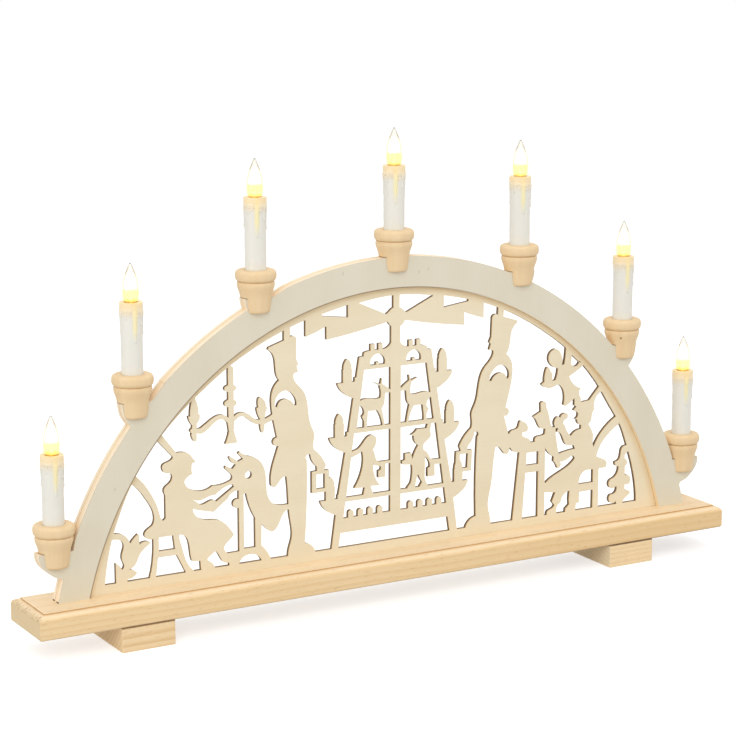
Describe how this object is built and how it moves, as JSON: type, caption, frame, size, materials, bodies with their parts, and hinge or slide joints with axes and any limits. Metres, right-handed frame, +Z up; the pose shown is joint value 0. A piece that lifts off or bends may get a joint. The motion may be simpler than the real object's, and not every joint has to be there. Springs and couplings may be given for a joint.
{
  "type": "candle arch",
  "caption": "Wooden candle arch with a pierced figure panel between two plain rings, on a moulded base board, carrying turned cups with electric candles.",
  "frame": {"origin": "middle of the footprint at the level that the feet stand on", "axes": "+X along the base board to the right, +Y to the back, +Z up"},
  "size_m": [0.6, 0.0562, 0.361],
  "materials": {
    "pine": "smooth, unvarnished pine",
    "pine_block": "smooth, unvarnished pine",
    "ring_plywood": "sanded pale plywood",
    "birch_plywood": "sanded birch plywood with scorched edges",
    "turned_wood": "turned beech, smooth",
    "white_plastic": "satin",
    "cream_plastic": "satin",
    "brass": "plain stamped",
    "lamp_glass": "clear, lit",
    "filament": "bright wire"
  },
  "bodies": {
    "root": {"base_board": "pine", "left_foot": "pine_block", "right_foot": "pine_block", "front_ring": "ring_plywood", "fretwork_panel": "birch_plywood", "back_ring": "ring_plywood", "cup_1": "turned_wood", "candle_sleeve_1": "white_plastic", "lamp_holder_1": "cream_plastic", "contact_shell_1": "brass", "cup_2": "turned_wood", "candle_sleeve_2": "white_plastic", "lamp_holder_2": "cream_plastic", "contact_shell_2": "brass", "cup_3": "turned_wood", "candle_sleeve_3": "white_plastic", "lamp_holder_3": "cream_plastic", "contact_shell_3": "brass", "cup_4": "turned_wood", "candle_sleeve_4": "white_plastic", "lamp_holder_4": "cream_plastic", "contact_shell_4": "brass", "cup_5": "turned_wood", "candle_sleeve_5": "white_plastic", "lamp_holder_5": "cream_plastic", "contact_shell_5": "brass", "cup_6": "turned_wood", "candle_sleeve_6": "white_plastic", "lamp_holder_6": "cream_plastic", "contact_shell_6": "brass", "cup_7": "turned_wood", "candle_sleeve_7": "white_plastic", "lamp_holder_7": "cream_plastic", "contact_shell_7": "brass"},
    "lamp_1": {"lamp_cap_1": "brass", "lamp_glass_1": "lamp_glass", "lamp_filament_1": "filament"},
    "lamp_2": {"lamp_cap_2": "brass", "lamp_glass_2": "lamp_glass", "lamp_filament_2": "filament"},
    "lamp_3": {"lamp_cap_3": "brass", "lamp_glass_3": "lamp_glass", "lamp_filament_3": "filament"},
    "lamp_4": {"lamp_cap_4": "brass", "lamp_glass_4": "lamp_glass", "lamp_filament_4": "filament"},
    "lamp_5": {"lamp_cap_5": "brass", "lamp_glass_5": "lamp_glass", "lamp_filament_5": "filament"},
    "lamp_6": {"lamp_cap_6": "brass", "lamp_glass_6": "lamp_glass", "lamp_filament_6": "filament"},
    "lamp_7": {"lamp_cap_7": "brass", "lamp_glass_7": "lamp_glass", "lamp_filament_7": "filament"}
  },
  "joints": [
    {"name": "lamp_1_turn", "type": "hinge", "parent": "root", "child": "lamp_1", "pos_m": [-0.27649, 0, 0.14503], "axis": [0, 0, 1], "range_deg": [0, 1080]},
    {"name": "lamp_2_turn", "type": "hinge", "parent": "root", "child": "lamp_2", "pos_m": [-0.21341, 0, 0.24849], "axis": [0, 0, 1], "range_deg": [0, 1080]},
    {"name": "lamp_3_turn", "type": "hinge", "parent": "root", "child": "lamp_3", "pos_m": [-0.11421, 0, 0.31669], "axis": [0, 0, 1], "range_deg": [0, 1080]},
    {"name": "lamp_4_turn", "type": "hinge", "parent": "root", "child": "lamp_4", "pos_m": [0.0023, 0, 0.33282], "axis": [0, 0, 1], "range_deg": [0, 1080]},
    {"name": "lamp_5_turn", "type": "hinge", "parent": "root", "child": "lamp_5", "pos_m": [0.11501, 0, 0.3176], "axis": [0, 0, 1], "range_deg": [0, 1080]},
    {"name": "lamp_6_turn", "type": "hinge", "parent": "root", "child": "lamp_6", "pos_m": [0.2146, 0, 0.24758], "axis": [0, 0, 1], "range_deg": [0, 1080]},
    {"name": "lamp_7_turn", "type": "hinge", "parent": "root", "child": "lamp_7", "pos_m": [0.27689, 0, 0.14819], "axis": [0, 0, 1], "range_deg": [0, 1080]}
  ]
}
